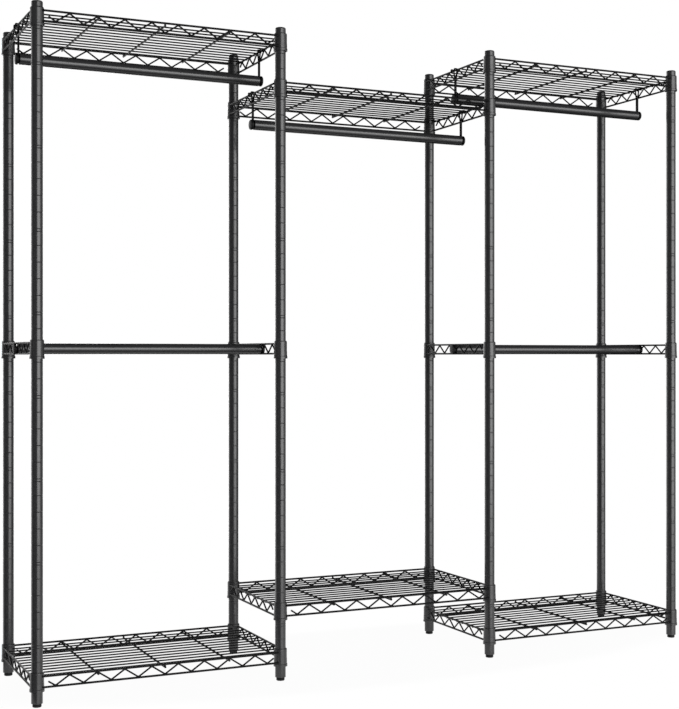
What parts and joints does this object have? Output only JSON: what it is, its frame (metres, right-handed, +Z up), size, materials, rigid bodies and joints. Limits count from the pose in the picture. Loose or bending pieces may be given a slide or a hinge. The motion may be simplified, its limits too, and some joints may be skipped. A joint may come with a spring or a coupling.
{
  "type": "open frame wardrobe",
  "caption": "Freestanding open wardrobe of black wire: bays of slatted wire shelves, truss side rails and hanging rods between round posts on levelling feet.",
  "frame": {"origin": "on the floor, under the middle of the frame", "axes": "+X along the bays, to the right seen from the front; +Y to the back; +Z up; the front faces -Y"},
  "size_m": [2.241, 0.448, 1.9606],
  "materials": {
    "post_coating": "satin black powder coat on steel tube",
    "rod_coating": "satin black powder coat on steel tube",
    "wire_coating": "satin black powder coat on steel wire",
    "black_plastic": "matt black moulded plastic"
  },
  "bodies": {
    "frame": {"foot_inserts": "black_plastic", "hangers_left": "wire_coating", "hangers_middle": "wire_coating", "hangers_right": "wire_coating", "post_back_1": "post_coating", "post_back_2": "post_coating", "post_back_3": "post_coating", "post_back_4": "post_coating", "post_caps": "black_plastic", "post_front_1": "post_coating", "post_front_2": "post_coating", "post_front_3": "post_coating", "post_front_4": "post_coating", "rail_left_1": "wire_coating", "rail_left_2": "wire_coating", "rail_right_1": "wire_coating", "rail_right_2": "wire_coating", "rod_ends_left_middle": "black_plastic", "rod_ends_left_top": "black_plastic", "rod_ends_middle_top": "black_plastic", "rod_ends_right_middle": "black_plastic", "rod_ends_right_top": "black_plastic", "rod_left_middle": "rod_coating", "rod_left_top": "rod_coating", "rod_middle_top": "rod_coating", "rod_right_middle": "rod_coating", "rod_right_top": "rod_coating", "shelf_left_bottom": "wire_coating", "shelf_left_top": "wire_coating", "shelf_middle_bottom": "wire_coating", "shelf_middle_top": "wire_coating", "shelf_right_bottom": "wire_coating", "shelf_right_top": "wire_coating", "sleeves_left_bottom": "black_plastic", "sleeves_left_rails": "black_plastic", "sleeves_left_top": "black_plastic", "sleeves_middle_bottom": "black_plastic", "sleeves_middle_top": "black_plastic", "sleeves_right_bottom": "black_plastic", "sleeves_right_rails": "black_plastic", "sleeves_right_top": "black_plastic"},
    "foot_front_1": {"foot_front_1": "black_plastic"},
    "foot_front_2": {"foot_front_2": "black_plastic"},
    "foot_front_3": {"foot_front_3": "black_plastic"},
    "foot_front_4": {"foot_front_4": "black_plastic"},
    "foot_back_1": {"foot_back_1": "black_plastic"},
    "foot_back_2": {"foot_back_2": "black_plastic"},
    "foot_back_3": {"foot_back_3": "black_plastic"},
    "foot_back_4": {"foot_back_4": "black_plastic"}
  },
  "joints": [
    {"name": "foot_front_1_level", "type": "slide", "parent": "frame", "child": "foot_front_1", "axis": [0, 0, -1], "range_m": [0, 0.012]},
    {"name": "foot_front_2_level", "type": "slide", "parent": "frame", "child": "foot_front_2", "axis": [0, 0, -1], "range_m": [0, 0.012]},
    {"name": "foot_front_3_level", "type": "slide", "parent": "frame", "child": "foot_front_3", "axis": [0, 0, -1], "range_m": [0, 0.012]},
    {"name": "foot_front_4_level", "type": "slide", "parent": "frame", "child": "foot_front_4", "axis": [0, 0, -1], "range_m": [0, 0.012]},
    {"name": "foot_back_1_level", "type": "slide", "parent": "frame", "child": "foot_back_1", "axis": [0, 0, -1], "range_m": [0, 0.012]},
    {"name": "foot_back_2_level", "type": "slide", "parent": "frame", "child": "foot_back_2", "axis": [0, 0, -1], "range_m": [0, 0.012]},
    {"name": "foot_back_3_level", "type": "slide", "parent": "frame", "child": "foot_back_3", "axis": [0, 0, -1], "range_m": [0, 0.012]},
    {"name": "foot_back_4_level", "type": "slide", "parent": "frame", "child": "foot_back_4", "axis": [0, 0, -1], "range_m": [0, 0.012]}
  ]
}
